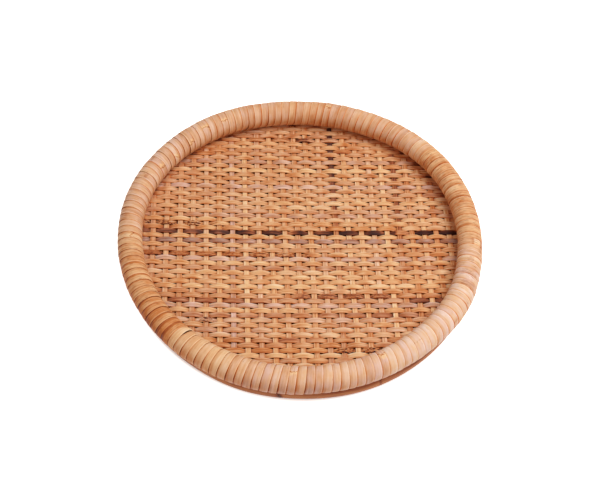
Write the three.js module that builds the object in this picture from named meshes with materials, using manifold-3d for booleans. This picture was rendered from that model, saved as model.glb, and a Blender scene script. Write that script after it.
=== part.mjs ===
// Round rattan tray: a plain-woven cane mat, clamped between a rim hoop that is bound with cane and a plain foot hoop.
// Millimetres, +Z up, origin at the centre of the foot's underside.
import * as THREE from "three";
import { mergeVertices } from "three/addons/utils/BufferGeometryUtils.js";
import Module from "manifold-3d";

const wasm = await Module();
wasm.setup();

// Rim: a rattan pole bent to this diameter at its centre line, wound with flat binding cane to 300 mm over all
const RIM_DIAMETER = 278.5;
const CORE_DIAMETER = 18;
const BINDING_THICKNESS = 1;
const BINDING_WIDTH = 6.1;
const BINDING_GAP = 0.5;
const BINDING_CLEARANCE = 0.3;
const BINDING_STRIPS = 6;
const BINDING_START_ANGLE = THREE.MathUtils.degToRad(-5.75);

// Foot: a thinner bent pole under the mat, a little inside the rim's centre line
const FOOT_THICKNESS = 10.5;
const FOOT_INSET = 2;

// Both hoops are closed by a slanted scarf joint, on opposite sides of the tray
const SCARF_LENGTH = 24;
const SCARF_GAP = 0.5;
const RIM_SCARF_ANGLE = THREE.MathUtils.degToRad(78);
const FOOT_SCARF_ANGLE = THREE.MathUtils.degToRad(-102);

// Mat: straight warps along Y, and wefts along X that pass over one warp and under the next
const WARP_WIDTH = 4.2;
const WARP_SPACE = 6.55;
const WARP_CROWN = 1;
const WARP_EDGE = 0.3;
const WEFT_WIDTH = 4.2;
const WEFT_SPACE = 0.4;
const WEFT_THICKNESS = 0.9;
const WEAVE_CLEARANCE = 0.25;
const SEAT_CLEARANCE = 0.3;
const WEFTS_PER_BAND = 3;

// The mat is cut from a longer sheet, so its middle warp and weft lie a little off the tray's centre
const WARP_SHIFT = -2.2;
const WEFT_SHIFT = 1.7;

// Facets
const BINDING_SIDES = 7;
const FOOT_SIDES = 8;
const HOOP_STEPS = 40;
const LEAST_STATION_STEP = 0.8;
const EDGE_OVERLAP = 0.15;

// Sizes that follow from those above
const flatShare = (sides) => Math.cos(Math.PI / sides);
const rimRadius = RIM_DIAMETER / 2;
const coreRadius = CORE_DIAMETER / 2;
const hoopSag = (rimRadius + coreRadius) * (1 - Math.cos(Math.PI / HOOP_STEPS));
const bindingInside = coreRadius + BINDING_CLEARANCE + hoopSag;
const bindingOutside = bindingInside + BINDING_THICKNESS;
const wellRadius = rimRadius - bindingOutside;
const footRadius = rimRadius - FOOT_INSET;
const matRadius = footRadius;
const warpPitch = WARP_WIDTH + WARP_SPACE;
const weftPitch = WEFT_WIDTH + WEFT_SPACE;

// The weft is a zigzag that clears both the crown and the edges of each warp, which stand on the centre of its peaks.
const weftHalf = WEFT_THICKNESS / 2;
const overCrown = WARP_CROWN / 2 + WEAVE_CLEARANCE + weftHalf;
const overEdge = (WARP_EDGE / 2 + WEAVE_CLEARANCE + weftHalf) / (1 - WARP_WIDTH / warpPitch);
const weftRise = Math.max(overCrown, overEdge);
const matHalf = weftRise + weftHalf;
const matLevel = FOOT_THICKNESS + SEAT_CLEARANCE + matHalf;
const rimLevel = matLevel + matHalf + SEAT_CLEARANCE + bindingOutside * flatShare(BINDING_SIDES);

const caneMaterial = (color, roughness) => new THREE.MeshStandardMaterial({ color, roughness, metalness: 0 });
const poleMaterial = caneMaterial("#c98f5e", 0.65);
const footMaterial = caneMaterial("#b5764b", 0.6);
const bindingMaterial = caneMaterial("#dcab80", 0.5);
const warpMaterial = caneMaterial("#dba469", 0.55);
const weftMaterial = caneMaterial("#d79b62", 0.55);

// A closed skin over rings of points, each ring in the same order, with a flat cap at either end.
function loft(rings) {
  const sides = rings[0].length;
  const last = (rings.length - 1) * sides;
  const index = [];
  for (let ring = 0; ring + 1 < rings.length; ring++) {
    for (let side = 0; side < sides; side++) {
      const a = ring * sides + side;
      const b = ring * sides + ((side + 1) % sides);
      index.push(a, b, b + sides, a, b + sides, a + sides);
    }
  }
  for (let side = 1; side + 1 < sides; side++) {
    index.push(0, side + 1, side);
    index.push(last, last + side, last + side + 1);
  }
  const geometry = new THREE.BufferGeometry().setFromPoints(rings.flat());
  geometry.setIndex(index);
  return geometry;
}

// A point of a ring-shaped tube: turned round Z by azimuth, and round the tube's own centre line by angle.
function tubePoint(ringRadius, level, azimuth, angle, tubeRadius) {
  const reach = ringRadius + tubeRadius * Math.cos(angle);
  return new THREE.Vector3(
    reach * Math.cos(azimuth),
    reach * Math.sin(azimuth),
    level + tubeRadius * Math.sin(angle),
  );
}

// Corner angles of a section with a flat at the bottom.
const cornerAngle = (sides, corner) => -Math.PI / 2 + ((corner + 0.5) * 2 * Math.PI) / sides;

// A bent pole: an open ring whose slanted ends meet in a scarf joint.
function hoopGeometry(ringRadius, level, tubeRadius, sides, scarfAngle) {
  const cut = SCARF_GAP / ringRadius;
  const slant = SCARF_LENGTH / (2 * ringRadius);
  const rings = [];
  for (let step = 0; step <= HOOP_STEPS; step++) {
    const azimuth = scarfAngle + cut / 2 + ((2 * Math.PI - cut) * step) / HOOP_STEPS;
    const ring = [];
    for (let corner = 0; corner < sides; corner++) {
      const angle = cornerAngle(sides, sides - 1 - corner);
      ring.push(tubePoint(ringRadius, level, azimuth + slant * Math.cos(angle), angle, tubeRadius));
    }
    rings.push(ring);
  }
  return loft(rings);
}

// The binding cane: one helix round the rim, cut under the rim into strips of as many turns each.
const turnsPerStrip = Math.round((2 * Math.PI * rimRadius) / ((BINDING_WIDTH + BINDING_GAP) * BINDING_STRIPS));
const turnAzimuth = (2 * Math.PI) / (turnsPerStrip * BINDING_STRIPS);

// One station of the helix: four corners, as wide as the turn's share of the rim here, less the gap to the next turn.
function bindingRing(turn, angle, onFlat) {
  const share = onFlat ? flatShare(BINDING_SIDES) : 1;
  const reach = rimRadius + bindingOutside * share * Math.cos(angle);
  const halfWidth = turnAzimuth / 2 - BINDING_GAP / (2 * reach);
  const azimuth = BINDING_START_ANGLE + turn * turnAzimuth;
  const corner = (side, tubeRadius) =>
    tubePoint(rimRadius, rimLevel, azimuth + side * halfWidth, angle, tubeRadius * share);
  return [corner(-1, bindingInside), corner(-1, bindingOutside), corner(1, bindingOutside), corner(1, bindingInside)];
}

function bindingRings(strip) {
  const first = strip * turnsPerStrip;
  const endCut = BINDING_GAP / (2 * bindingOutside);
  const startAngle = -Math.PI / 2 + endCut;
  const rings = [bindingRing(first + endCut / (2 * Math.PI), startAngle, true)];
  for (let step = 0; step < turnsPerStrip * BINDING_SIDES; step++) {
    const turn = first + (step + 0.5) / BINDING_SIDES;
    rings.push(bindingRing(turn, cornerAngle(BINDING_SIDES, step), false));
  }
  rings.push(bindingRing(first + turnsPerStrip - endCut / (2 * Math.PI), -Math.PI / 2 - endCut, true));
  return rings;
}

// The least distance from any corner of a wound strip to the corners about one turn further on.
function leastGap(rings) {
  let least = Infinity;
  for (let here = 0; here < rings.length; here++) {
    for (let there = here + BINDING_SIDES - 1; there <= here + BINDING_SIDES + 1; there++) {
      for (const a of rings[here]) {
        for (const b of rings[there] ?? []) {
          least = Math.min(least, a.distanceTo(b));
        }
      }
    }
  }
  return least;
}

// Half the length of a strip that runs across the round mat at this offset, with its corners inside the edge.
const halfLength = (offset, width) => Math.sqrt(matRadius ** 2 - (Math.abs(offset) + width / 2) ** 2);

// Strips are laid out from the middle one as far as they still show inside the rim.
const countBeside = (pitch, width, room) => Math.floor((wellRadius + width / 2 + room) / pitch);
const warpsLeft = countBeside(warpPitch, WARP_WIDTH, WARP_SHIFT);
const warpsRight = countBeside(warpPitch, WARP_WIDTH, -WARP_SHIFT);
const weftsFront = countBeside(weftPitch, WEFT_WIDTH, WEFT_SHIFT);
const weftsBack = countBeside(weftPitch, WEFT_WIDTH, -WEFT_SHIFT);
const warpOffset = (warp) => warp * warpPitch + WARP_SHIFT;
const weftOffset = (row) => row * weftPitch + WEFT_SHIFT;

// A warp: a straight strip, crowned on both faces.
function warpGeometry(x) {
  const outline = new THREE.Shape([
    new THREE.Vector2(-WARP_WIDTH / 2, -WARP_EDGE / 2),
    new THREE.Vector2(0, -WARP_CROWN / 2),
    new THREE.Vector2(WARP_WIDTH / 2, -WARP_EDGE / 2),
    new THREE.Vector2(WARP_WIDTH / 2, WARP_EDGE / 2),
    new THREE.Vector2(0, WARP_CROWN / 2),
    new THREE.Vector2(-WARP_WIDTH / 2, WARP_EDGE / 2),
  ]);
  const half = halfLength(x, WARP_WIDTH);
  const strip = new THREE.ExtrudeGeometry(outline, { depth: 2 * half, bevelEnabled: false });
  return strip.translate(0, 0, -half).rotateX(Math.PI / 2);
}

// Height of a weft's middle above the mat's own: peaks over every second warp, and neighbours take turns.
function weftHeight(row, x) {
  const place = (x - WARP_SHIFT) / warpPitch;
  const warp = Math.floor(place);
  const sign = (warp + row) % 2 === 0 ? 1 : -1;
  return sign * weftRise * (1 - 2 * (place - warp));
}

// The first warp, or place midway between two, that a weft of this half length reaches.
const firstWarp = (half) => Math.ceil((LEAST_STATION_STEP - half - WARP_SHIFT) / warpPitch);
const lastWarp = (half) => Math.floor((half - LEAST_STATION_STEP - WARP_SHIFT) / warpPitch);
const firstMiddle = (half) => Math.ceil((LEAST_STATION_STEP - half - WARP_SHIFT) / warpPitch - 0.5) + 0.5;

// The last place before the rim where neighbouring wefts cross, midway between two warps.
function meetingPlace(rows) {
  const half = Math.min(...rows.map((row) => halfLength(weftOffset(row), WEFT_WIDTH)));
  return warpOffset(firstMiddle(half));
}

// A weft: a flat strip in a zigzag, wider at the one place where it is packed against the neighbours of its band.
function weftGeometry(row, neighbours) {
  const half = halfLength(weftOffset(row), WEFT_WIDTH);
  const stations = [-half, half];
  for (let warp = firstWarp(half); warp <= lastWarp(half); warp++) {
    stations.push(warpOffset(warp));
  }
  const meeting = meetingPlace([row, ...neighbours]);
  if (neighbours.length > 0) {
    stations.push(meeting);
  }
  const edge = (side, x) => {
    const packed = x === meeting && neighbours.includes(row + side);
    return side * (WEFT_WIDTH / 2 + (packed ? WEFT_SPACE + EDGE_OVERLAP : 0));
  };
  stations.sort((a, b) => a - b);
  const rings = stations.map((x) => {
    const z = weftHeight(row, x);
    const corner = (side, up) => new THREE.Vector3(x, edge(side, x), z + up * weftHalf);
    return [corner(-1, -1), corner(1, -1), corner(1, 1), corner(-1, 1)];
  });
  return loft(rings).translate(0, weftOffset(row), 0);
}

function toSolid(geometry) {
  const points = mergeVertices(geometry);
  return new wasm.Manifold(
    new wasm.Mesh({
      numProp: 3,
      vertProperties: points.getAttribute("position").array,
      triVerts: new Uint32Array(points.index.array),
    }),
  );
}

function toGeometry(solid) {
  const mesh = solid.getMesh();
  const geometry = new THREE.BufferGeometry();
  geometry.setAttribute("position", new THREE.BufferAttribute(mesh.vertProperties, 3));
  geometry.setIndex(new THREE.BufferAttribute(mesh.triVerts, 1));
  return geometry;
}

// A band of neighbouring wefts: every second one is packed against those beside it, under the rim.
function bandGeometry(firstRow, lastRow) {
  const wefts = [];
  for (let row = firstRow; row <= lastRow; row++) {
    const beside = [row - 1, row + 1].filter((other) => other >= firstRow && other <= lastRow);
    const neighbours = (row - firstRow) % 2 === 1 ? beside : [];
    wefts.push(toSolid(weftGeometry(row, neighbours)));
  }
  return toGeometry(wefts.reduce((band, weft) => band.add(weft)));
}

const twoDigits = (number) => String(number).padStart(2, "0");

function addPiece(group, name, geometry, material) {
  const piece = new THREE.Mesh(geometry, material);
  piece.name = name;
  group.add(piece);
  return piece;
}

const tray = new THREE.Group();

const coreGeometry = hoopGeometry(rimRadius, rimLevel, coreRadius, BINDING_SIDES, RIM_SCARF_ANGLE);
addPiece(tray, "rim_core", coreGeometry, poleMaterial);

const footTube = FOOT_THICKNESS / 2 / flatShare(FOOT_SIDES);
const footGeometry = hoopGeometry(footRadius, FOOT_THICKNESS / 2, footTube, FOOT_SIDES, FOOT_SCARF_ANGLE);
addPiece(tray, "foot_hoop", footGeometry, footMaterial);

let bindingLeastGap = Infinity;
for (let strip = 0; strip < BINDING_STRIPS; strip++) {
  const rings = bindingRings(strip);
  bindingLeastGap = Math.min(bindingLeastGap, leastGap(rings));
  addPiece(tray, `binding_strip_${strip + 1}`, loft(rings), bindingMaterial);
}
console.log(`binding: ${turnsPerStrip} turns a strip, least gap to itself ${bindingLeastGap.toFixed(2)} mm`);

const mat = new THREE.Group();
mat.position.z = matLevel;
tray.add(mat);

// Warps and bands are counted from the middle of the mat, so those in the middle stay when the mat grows.
function addWarp(name, warp) {
  const x = warpOffset(warp);
  addPiece(mat, name, warpGeometry(x), warpMaterial).position.x = x;
}

addWarp("warp_middle", 0);
for (let warp = 1; warp <= warpsLeft; warp++) {
  addWarp(`warp_left_${twoDigits(warp)}`, -warp);
}
for (let warp = 1; warp <= warpsRight; warp++) {
  addWarp(`warp_right_${twoDigits(warp)}`, warp);
}

const middleHalf = Math.floor(WEFTS_PER_BAND / 2);
addPiece(mat, "weft_band_middle", bandGeometry(-middleHalf, middleHalf), weftMaterial);
for (let first = middleHalf + 1, band = 1; first <= weftsFront; first += WEFTS_PER_BAND, band++) {
  const last = Math.min(first + WEFTS_PER_BAND - 1, weftsFront);
  addPiece(mat, `weft_band_front_${twoDigits(band)}`, bandGeometry(-last, -first), weftMaterial);
}
for (let first = middleHalf + 1, band = 1; first <= weftsBack; first += WEFTS_PER_BAND, band++) {
  const last = Math.min(first + WEFTS_PER_BAND - 1, weftsBack);
  addPiece(mat, `weft_band_back_${twoDigits(band)}`, bandGeometry(first, last), weftMaterial);
}
console.log(`mat: ${warpsLeft + warpsRight + 1} warps, ${weftsFront + weftsBack + 1} wefts`);

export default tray;
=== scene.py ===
# %% [markdown]
# A round rattan tray.
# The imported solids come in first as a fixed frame, and every piece made below is put where
# its solid is. The solids stay in the file for the physics; what the eye sees are strips
# of cane with rounded edges, real thickness and a grain that runs along them.

# %% Load the frame
import math
import bpy
import numpy as np
from mathutils import Matrix, Vector


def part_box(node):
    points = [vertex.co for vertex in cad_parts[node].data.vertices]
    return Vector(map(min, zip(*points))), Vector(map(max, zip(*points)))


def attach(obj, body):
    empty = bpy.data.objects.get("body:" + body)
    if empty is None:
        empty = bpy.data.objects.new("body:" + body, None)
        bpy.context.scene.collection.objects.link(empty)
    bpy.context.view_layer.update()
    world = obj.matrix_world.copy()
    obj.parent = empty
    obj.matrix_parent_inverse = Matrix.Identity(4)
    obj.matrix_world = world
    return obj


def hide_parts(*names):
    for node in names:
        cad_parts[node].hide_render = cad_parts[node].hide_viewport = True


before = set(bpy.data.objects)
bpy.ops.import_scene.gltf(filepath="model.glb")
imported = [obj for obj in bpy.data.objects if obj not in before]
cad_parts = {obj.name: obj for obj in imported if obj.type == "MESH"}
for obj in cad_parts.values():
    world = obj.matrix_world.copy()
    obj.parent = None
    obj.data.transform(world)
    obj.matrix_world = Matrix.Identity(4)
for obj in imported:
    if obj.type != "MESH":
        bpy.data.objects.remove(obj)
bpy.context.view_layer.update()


# %% [markdown]
# The tray's measures.
# The heights and diameters are read from the solids, so the strips keep to them if a solid
# changes. Lengths are kept in millimetres here, because that is how a basket maker thinks
# of cane, and are turned to metres only when a mesh is made.

# %% Read the measures
MM = 0.001
BINDING_STRIPS = 6
# The hoop is half a millimetre smaller all round than the outside of the solids.
RIM_TRIM = 0.5


def box_mm(node):
    low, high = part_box(node)
    return np.array(low) / MM, np.array(high) / MM


foot_low, foot_high = box_mm("foot_hoop")
FOOT_THICK = foot_high[2] - foot_low[2]
FOOT_RADIUS = (foot_high[0] - foot_low[0] - FOOT_THICK) / 2

bound = [box_mm(f"binding_strip_{number}") for number in range(1, BINDING_STRIPS + 1)]
rim_low = min(low[2] for low, high in bound)
rim_high = max(high[2] for low, high in bound)
rim_outside = max(high[0] for low, high in bound)
TUBE_RADIUS = (rim_high - rim_low) / 2
TUBE_LEVEL = (rim_high + rim_low) / 2
RIM_RADIUS = rim_outside - RIM_TRIM - TUBE_RADIUS

warp_low, warp_high = box_mm("warp_middle")
MAT_LEVEL = (warp_low[2] + warp_high[2]) / 2
MAT_RADIUS = FOOT_RADIUS
print("foot hoop: radius", round(FOOT_RADIUS, 2), "thickness", round(FOOT_THICK, 2))
print("rim: radius", round(RIM_RADIUS, 2), "half thickness", round(TUBE_RADIUS, 2))
print("heights: rim", round(TUBE_LEVEL, 2), "mat", round(MAT_LEVEL, 2))

# %% [markdown]
# The camera.
# It stands in front of the tray, a bit more than half way up to straight above and a bit
# more than a metre off, and is held slightly crooked. The picture is taken as 600 by 500
# pixels; the lens and the small shift come from a fit to the outline of the rim in such a
# picture. Angles turned into three axes say this more plainly than a typed rotation.

# %% Set the camera
CAMERA_TURN = math.radians(-4.2)
CAMERA_RISE = math.radians(51.45)
CAMERA_ROLL = math.radians(3.56)
CAMERA_REACH = 1.130
CAMERA_AIM = Vector((0, 0, 0.025))
PICTURE_WIDTH = 600.0
LENS_IN_PIXELS = 1383.0
SHIFT_IN_PIXELS = (-1.0, -14.5)
SENSOR_WIDTH = 36.0

camera_data = bpy.data.cameras.new("tray_camera")
camera_data.sensor_fit = "HORIZONTAL"
camera_data.sensor_width = SENSOR_WIDTH
camera_data.lens = LENS_IN_PIXELS / PICTURE_WIDTH * SENSOR_WIDTH
camera_data.shift_x = SHIFT_IN_PIXELS[0] / PICTURE_WIDTH
camera_data.shift_y = SHIFT_IN_PIXELS[1] / PICTURE_WIDTH
camera_data.clip_start = 0.01

back = Vector((math.sin(CAMERA_TURN) * math.cos(CAMERA_RISE),
               -math.cos(CAMERA_TURN) * math.cos(CAMERA_RISE), math.sin(CAMERA_RISE)))
level = Vector((math.cos(CAMERA_TURN), math.sin(CAMERA_TURN), 0.0))
upright = level.cross(-back)
right = math.cos(CAMERA_ROLL) * level + math.sin(CAMERA_ROLL) * upright
up = -math.sin(CAMERA_ROLL) * level + math.cos(CAMERA_ROLL) * upright

camera = bpy.data.objects.new("tray_camera", camera_data)
bpy.context.collection.objects.link(camera)
turned = Matrix((right, up, back)).transposed().to_4x4()
camera.matrix_world = Matrix.Translation(CAMERA_AIM + CAMERA_REACH * back) @ turned
bpy.context.scene.camera = camera
print("camera at", [round(value, 3) for value in camera.matrix_world.translation])

# %% [markdown]
# Nodes and colours.
# Every finish is a small tree of shader nodes. One helper adds a node, sets it and links
# it; a node given as an input stands for its first output in use. Colours are written as
# they look on a screen and turned to linear light.

# %% Helpers for finishes


def linear(colour):
    parts = [int(colour[k:k + 2], 16) / 255 for k in (1, 3, 5)]
    return [p / 12.92 if p <= 0.04045 else ((p + 0.055) / 1.055) ** 2.4 for p in parts] + [1.0]


def add_node(tree, kind, inputs=None, **settings):
    node = tree.nodes.new("ShaderNode" + kind)
    for setting, value in settings.items():
        setattr(node, setting, value)
    for socket, value in (inputs or {}).items():
        if isinstance(value, bpy.types.Node):
            value = next(output for output in value.outputs if output.enabled)
        if isinstance(value, bpy.types.NodeSocket):
            tree.links.new(value, node.inputs[socket])
        else:
            node.inputs[socket].default_value = value
    return node


def set_tones(ramp_node, tones):
    ramp = ramp_node.color_ramp
    while len(ramp.elements) < len(tones):
        ramp.elements.new(0.5)
    # All places are set before any colour, because a ramp keeps its stops in order.
    for stop, (position, colour) in zip(ramp.elements, tones):
        stop.position = position
    for stop, (position, colour) in zip(ramp.elements, tones):
        stop.color = linear(colour)


def empty_material(name):
    material = bpy.data.materials.new(name)
    material.use_nodes = True
    material.node_tree.nodes.clear()
    return material, material.node_tree


print("middle grey in linear light:", round(linear("#808080")[0], 3))

# %% [markdown]
# Split cane, the skin of the rattan vine.
# The vine is split lengthwise and the strips keep the vine's skin: a hard, slightly glossy
# surface with fibres along it, from straw gold to orange tan, pinkish grey where the skin's
# silvery bloom is left and brown where it was bruised. A noise in the tray's own space
# would run across the strips. So each point of a strip's mesh carries ten measures for the
# finish to read: its place along and across the strip, how near an edge it is, skin or
# split side, the lot of cane, the tone from dark to pale (with painted shade taken off it in
# places), bloom, scars, dust and painted shade along the edges, and how far off a leaf node is.

# %% Grain of the cane
CANE_MEASURES = ("along", "across", "edge", "pith", "lot", "tone", "bloom", "scar", "leaf", "dust_and_shade")


def cane_grain(tree, mesh, streak, fibre, fleck):
    place = add_node(tree, "CombineXYZ", {"X": mesh["along"], "Y": mesh["across"], "Z": mesh["lot"]})
    # Length and width in mm, and a step that gives every lot of cane its own pattern. Real fibres
    # are finer than a tenth of a millimetre, so they are drawn as wide as the picture can show.
    sizes = {"streaks": (70.0, streak, 41.0), "fibres": (12.0, fibre, 23.0),
             "patches": (9.0, 4.0, 17.0), "flecks": (*fleck, 29.0)}
    grain = {}
    for word, (length, width, lot_step) in sizes.items():
        scale = (1 / length, 1 / width, lot_step)
        spot = add_node(tree, "VectorMath", {0: place, 1: scale}, operation="MULTIPLY")
        noise = add_node(tree, "TexNoise", {"Vector": spot, "Scale": 1.0, "Detail": 2.0})
        grain[word] = add_node(tree, "Math", {0: noise, 1: 0.5}, operation="SUBTRACT")
    return grain


print("measures that the cane reads:", len(CANE_MEASURES))

# %% [markdown]
# The shade of the cane.
# Streaks, fibres and patches make a strip paler and darker along its length, and old scars
# are rough. All of these could be mixed in as colours; here they push one tone up and down,
# so that they stay in keeping with the strip they are on.

# %% Shade of the cane
# How strongly scars bring out the streaks, fibres show beside them, and patches show.
SCAR_STREAKS = 0.38
FIBRE_SHARE = 0.8
PATCH_STRENGTH = 0.36
# What darkens the flecks of a deep scar.
FLECK_DARKER = 0.08


def cane_shade(tree, mesh, grain, contrast):
    # Weathered and scarred cane shows its streaks more than fresh cane does.
    scarred = add_node(tree, "Math", {0: mesh["scar"], 1: 1.0}, operation="MINIMUM")
    streaky = add_node(tree, "Math", {0: scarred, 1: SCAR_STREAKS, 2: contrast}, operation="MULTIPLY_ADD")
    strengths = {"streaks": streaky, "fibres": FIBRE_SHARE * contrast, "patches": PATCH_STRENGTH}
    shade = mesh["tone"]
    for word, strength in strengths.items():
        shade = add_node(tree, "Math", {0: grain[word], 1: strength, 2: shade}, operation="MULTIPLY_ADD")
    # A deep scar is rough and has dark flecks.
    rough = add_node(tree, "MapRange", {"Value": mesh["scar"], "From Min": 0.8, "From Max": 1.8,
                                        "To Min": 0.0, "To Max": 2.8})
    darker = add_node(tree, "Math", {0: grain["flecks"], 1: FLECK_DARKER}, operation="SUBTRACT")
    return scarred, add_node(tree, "Math", {0: darker, 1: rough, 2: shade}, operation="MULTIPLY_ADD")


print("strength of fibres and patches:", FIBRE_SHARE, PATCH_STRENGTH)

# %% [markdown]
# Leaf nodes.
# Where a leaf grew on the vine, the skin has a ragged straw patch with a broken dark line
# beside it. The mesh says how many millimetres off the node is, and noise makes its outline
# ragged; a stamped mark would look the same every time.

# %% Leaf nodes of the cane
# In mm: how ragged patch and line are, the line's place and half width. Then both changes of tone.
PATCH_RAGGED = 9.0
LINE_RAGGED = 4.0
LINE_PLACE = 1.1
LINE_HALF_WIDTH = 0.45
STRAW_PALER = 0.05
LINE_DARKER = 0.32


def mark_leaf_nodes(tree, mesh, grain, shade):
    from_leaf = add_node(tree, "Math", {0: grain["patches"], 1: PATCH_RAGGED, 2: mesh["leaf"]},
                         operation="MULTIPLY_ADD")
    near_leaf = add_node(tree, "Math", {0: from_leaf}, operation="ABSOLUTE")
    straw = add_node(tree, "MapRange", {"Value": near_leaf, "From Min": 1.2, "From Max": 2.8,
                                        "To Min": 1.0, "To Max": 0.0})
    line = add_node(tree, "Math", {0: grain["fibres"], 1: LINE_RAGGED, 2: from_leaf},
                    operation="MULTIPLY_ADD")
    line = add_node(tree, "Math", {0: line, 1: LINE_PLACE, 2: LINE_HALF_WIDTH}, operation="COMPARE")
    shade = add_node(tree, "Math", {0: straw, 1: STRAW_PALER, 2: shade}, operation="MULTIPLY_ADD")
    return straw, add_node(tree, "Math", {0: line, 1: -LINE_DARKER, 2: shade}, operation="MULTIPLY_ADD")


print("dark line of a leaf node, mm wide:", 2 * LINE_HALF_WIDTH)

# %% [markdown]
# Edges.
# One edge of a strip is painted paler, a painted highlight where it catches the light. Both
# edges are darker and redder: brown dust in the grooves, and painted shade there. One side
# of each strip is painted darker across its width, as painted shade. The mesh could be made
# dirty with vertex paint, but the place across a strip already says where its edges are.

# %% Edges of the cane
# From one edge at -1 to the other at 1: where a change of tone starts and ends, and the change.
# The pale edge is a painted highlight, the broad change from one edge is painted shade across the strip, and
# both edges are darkened by dust and painted shade.
EDGE_CHANGES = {"pale": (0.60, 0.86, 0.0, 0.09), "low": (-0.98, -0.66, -0.28, 0.0),
                "high": (0.93, 1.0, 0.0, -0.28), "shaded_side": (-1.0, 0.3, -0.12, 0.0)}


def dust_and_shade_edges(tree, mesh, shade):
    edge = {}
    for word, (start, end, first, last) in EDGE_CHANGES.items():
        edge[word] = add_node(tree, "MapRange", {"Value": mesh["edge"], "From Min": start, "From Max": end,
                                                 "To Min": first, "To Max": last})
    # One side of each strip is painted darker: painted shade.
    shade = add_node(tree, "Math", {0: edge["shaded_side"], 1: mesh["dust_and_shade"], 2: shade}, operation="MULTIPLY_ADD")
    # Dust and painted shade darken both edges, in the grooves.
    edge_dust_and_shade = add_node(tree, "Math", {0: edge["low"], 1: edge["high"]}, operation="ADD")
    edge_dust_and_shade = add_node(tree, "Math", {0: edge_dust_and_shade, 1: mesh["dust_and_shade"]}, operation="MULTIPLY")
    # The pale edge: a painted highlight.
    shade = add_node(tree, "Math", {0: shade, 1: edge["pale"]}, operation="ADD")
    return edge_dust_and_shade, add_node(tree, "Math", {0: edge_dust_and_shade, 1: shade}, operation="ADD")


print("changes of tone across a strip:", len(EDGE_CHANGES))

# %% [markdown]
# The colour of the cane.
# Bare skin runs from dark brown over orange tan to straw. Skin that has kept the vine's
# silvery wax is pinker and greyer, so it has a second row of colours, and the bloom says
# how much of it shows. One ramp with a grey mixed in would turn the dark cane dull.

# %% Colour of the cane
CANE_TONES = [(0.00, "#2a110f"), (0.18, "#592818"), (0.36, "#a8562c"), (0.52, "#cd7e45"),
              (0.66, "#dea472"), (0.80, "#ecbf8e"), (1.00, "#f4d9b6")]
BLOOM_TONES = [(0.20, "#5c3f38"), (0.40, "#937064"), (0.58, "#ba9080"), (0.76, "#dcaf9c"),
               (1.00, "#f2d6c8")]
CANE_BRUISE = "#9a4a1c"
CANE_PITH_AND_SHADE = "#a04810"
CANE_STAIN_AND_SHADE = "#ffb088"
# How well a leaf node and an edge with dust and painted shade rub off the bloom, and how strongly dust and
# painted shade redden the cane.
LEAF_RUB = 0.9
DUST_AND_SHADE_RUB = 6.0
STAIN_AND_SHADE_STRENGTH = 3.0
# How much thicker bruises are on scarred cane, and how much of the split side is pith.
BRUISE_SPREAD = 0.20
PITH_SHARE = 0.5


def cane_colour(tree, mesh, grain, shade, scarred, straw, edge_dust_and_shade):
    bare = add_node(tree, "ValToRGB", {"Fac": shade})
    set_tones(bare, CANE_TONES)
    silvery = add_node(tree, "ValToRGB", {"Fac": shade})
    set_tones(silvery, BLOOM_TONES)

    # Bloom is patchy along the strip, and gone at a leaf node and at an edge with dust and painted shade.
    wax = add_node(tree, "MapRange", {"Value": grain["patches"], "From Min": -0.12, "From Max": 0.10,
                                      "To Min": 0.45, "To Max": 1.05})
    wax = add_node(tree, "Math", {0: wax, 1: mesh["bloom"]}, operation="MULTIPLY")
    rubbed = add_node(tree, "Math", {0: straw, 1: -LEAF_RUB, 2: 1.0}, operation="MULTIPLY_ADD")
    wax = add_node(tree, "Math", {0: wax, 1: rubbed}, operation="MULTIPLY")
    wax = add_node(tree, "Math", {0: edge_dust_and_shade, 1: DUST_AND_SHADE_RUB, 2: wax}, operation="MULTIPLY_ADD", use_clamp=True)
    waxed = add_node(tree, "Mix", {0: wax, 6: bare, 7: silvery}, data_type="RGBA")

    # Bruises are short dark flecks, thick where the mesh says the strip is scarred.
    fleck = add_node(tree, "Math", {0: scarred, 1: BRUISE_SPREAD, 2: grain["flecks"]},
                     operation="MULTIPLY_ADD")
    fleck = add_node(tree, "MapRange", {"Value": fleck, "From Min": 0.20, "From Max": 0.40,
                                        "To Min": 0.0, "To Max": 0.65})
    bruised = add_node(tree, "Mix", {0: fleck, 6: waxed, 7: linear(CANE_BRUISE)}, data_type="RGBA")

    # Dust and painted shade make the edges redder than the skin is: dust in the grooves, and the warm shade
    # there.
    stain_and_shade = add_node(tree, "Math", {0: edge_dust_and_shade, 1: -STAIN_AND_SHADE_STRENGTH}, operation="MULTIPLY", use_clamp=True)
    stained_and_shaded = add_node(tree, "Mix", {0: stain_and_shade, 6: bruised, 7: linear(CANE_STAIN_AND_SHADE)},
                       data_type="RGBA", blend_type="MULTIPLY")

    # The split side has no skin, only pith. Its dark reddish brown is partly the pith's own colour and partly
    # painted warm shade, since it shows mostly in the crevices.
    split_side = add_node(tree, "Mix", {0: PITH_SHARE, 6: bare, 7: linear(CANE_PITH_AND_SHADE)}, data_type="RGBA")
    return add_node(tree, "Mix", {0: mesh["pith"], 6: stained_and_shaded, 7: split_side}, data_type="RGBA")


print("colours of bare and of bloomed skin:", len(CANE_TONES), len(BLOOM_TONES))

# %% [markdown]
# Three finishes of split cane.
# Binding cane is wider and its skin evener; the strips of the mat are narrower and show
# their fibres more. All are glossier along some fibres than along others, and dull on the
# split side. One function makes the three, because they grow on the same vine.

# %% Split cane
PITH_DULLNESS = 0.25


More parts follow.
